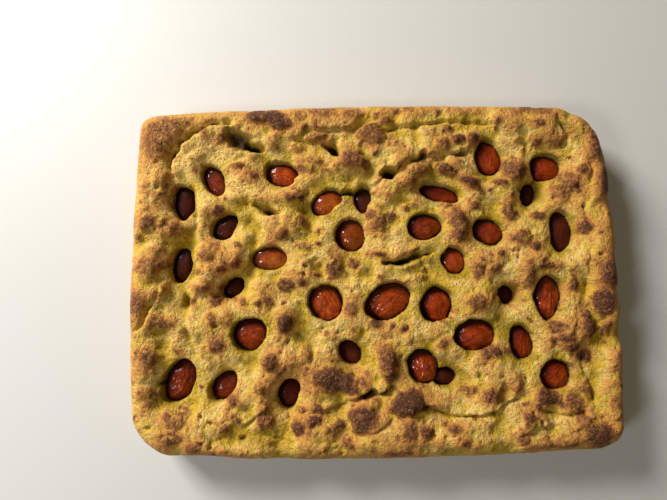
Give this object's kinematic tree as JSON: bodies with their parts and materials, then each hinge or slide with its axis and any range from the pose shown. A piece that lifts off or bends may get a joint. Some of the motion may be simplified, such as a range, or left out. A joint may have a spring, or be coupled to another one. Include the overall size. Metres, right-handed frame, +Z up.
{
  "type": "focaccia",
  "caption": "Whole rectangular tray-baked focaccia with an uneven, blistered golden crust, folds and torn hollows, and roasted tomatoes sunk into its top. Lies on its flat base.",
  "frame": {"origin": "middle of the flat base, on the surface that the bread lies on", "axes": "+X along the long side, +Y along the short side, +Z up through the top crust"},
  "size_m": [0.4, 0.29, 0.0428],
  "materials": {
    "crust": "golden yellow baked crust, oily, mottled red-brown on its blisters",
    "tomato_red": "wrinkled glossy deep red skin",
    "tomato_amber": "smooth glossy amber to orange-red skin",
    "tomato_dark": "glossy dark maroon skin"
  },
  "bodies": {
    "root": {"bread": "crust", "tomato_01": "tomato_dark", "tomato_02": "tomato_red", "tomato_03": "tomato_red", "tomato_04": "tomato_dark", "tomato_05": "tomato_dark", "tomato_06": "tomato_amber", "tomato_07": "tomato_dark", "tomato_08": "tomato_amber", "tomato_09": "tomato_amber", "tomato_10": "tomato_dark", "tomato_11": "tomato_red", "tomato_12": "tomato_red", "tomato_13": "tomato_red", "tomato_14": "tomato_red", "tomato_15": "tomato_dark", "tomato_16": "tomato_red", "tomato_17": "tomato_red", "tomato_18": "tomato_dark", "tomato_19": "tomato_red", "tomato_20": "tomato_red", "tomato_21": "tomato_red", "tomato_22": "tomato_red", "tomato_23": "tomato_red", "tomato_24": "tomato_red", "tomato_25": "tomato_dark", "tomato_26": "tomato_dark", "tomato_27": "tomato_red", "tomato_28": "tomato_dark", "tomato_29": "tomato_red", "tomato_30": "tomato_red", "tomato_31": "tomato_red", "tomato_32": "tomato_dark", "tomato_33": "tomato_red"}
  },
  "joints": []
}
